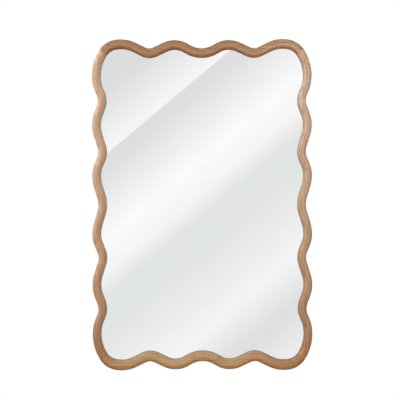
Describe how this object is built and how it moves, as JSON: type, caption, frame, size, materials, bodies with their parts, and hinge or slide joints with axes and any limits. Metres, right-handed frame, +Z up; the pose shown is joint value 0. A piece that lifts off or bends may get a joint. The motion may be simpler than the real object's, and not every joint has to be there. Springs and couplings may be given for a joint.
{
  "type": "wavy wall mirror",
  "caption": "Tall rectangular wall mirror in a rounded wooden frame with wavy edges and round corners, with strap hangers and swinging D-rings on its back.",
  "frame": {"origin": "middle of the mirror on the wall plane that the bumpers touch", "axes": "+Z up along the long side, +Y out of the back towards the wall, +X to the right seen from the front"},
  "size_m": [0.61, 0.031, 0.919],
  "materials": {
    "oak": "rounded natural oak under a clear satin lacquer",
    "beech_dowel": "raw beech, fluted in life, plain here",
    "glass": "clear polished float glass",
    "silver": "silvered, with grey protective paint on its back",
    "foam_tape": "double-sided foam tape",
    "fibreboard": "smooth medium-density fibreboard",
    "zinc_screw": "zinc-plated steel",
    "nickel_steel": "nickel-plated steel",
    "rubber": "matt black rubber"
  },
  "bodies": {
    "mirror": {"left_hanger_strap": "nickel_steel", "right_hanger_strap": "nickel_steel", "top_hanger_strap": "nickel_steel", "bottom_hanger_strap": "nickel_steel", "hanger_screws": "zinc_screw", "board_screws": "zinc_screw", "mitre_dowels": "beech_dowel", "bumper_top_left": "rubber", "bumper_top_right": "rubber", "bumper_bottom_left": "rubber", "bumper_bottom_right": "rubber", "top_rail": "oak", "bottom_rail": "oak", "left_stile": "oak", "right_stile": "oak", "mirror_glass": "glass", "silver_coat": "silver", "foam_tape_strips": "foam_tape", "backing_board": "fibreboard"},
    "left_ring": {"left_d_ring": "nickel_steel"},
    "right_ring": {"right_d_ring": "nickel_steel"},
    "top_ring": {"top_d_ring": "nickel_steel"},
    "bottom_ring": {"bottom_d_ring": "nickel_steel"}
  },
  "joints": [
    {"name": "left_ring_swing", "type": "hinge", "parent": "mirror", "child": "left_ring", "pos_m": [-0.2936, -0.00375, 0.22227], "axis": [-1, 0, 0], "range_deg": [0, 178]},
    {"name": "right_ring_swing", "type": "hinge", "parent": "mirror", "child": "right_ring", "pos_m": [0.2936, -0.00375, 0.22227], "axis": [-1, 0, 0], "range_deg": [0, 178]},
    {"name": "top_ring_swing", "type": "hinge", "parent": "mirror", "child": "top_ring", "pos_m": [0.225, -0.00375, 0.4459], "axis": [0, 0, 1], "range_deg": [0, 178]},
    {"name": "bottom_ring_swing", "type": "hinge", "parent": "mirror", "child": "bottom_ring", "pos_m": [0.225, -0.00375, -0.4432], "axis": [0, 0, 1], "range_deg": [0, 178]}
  ]
}
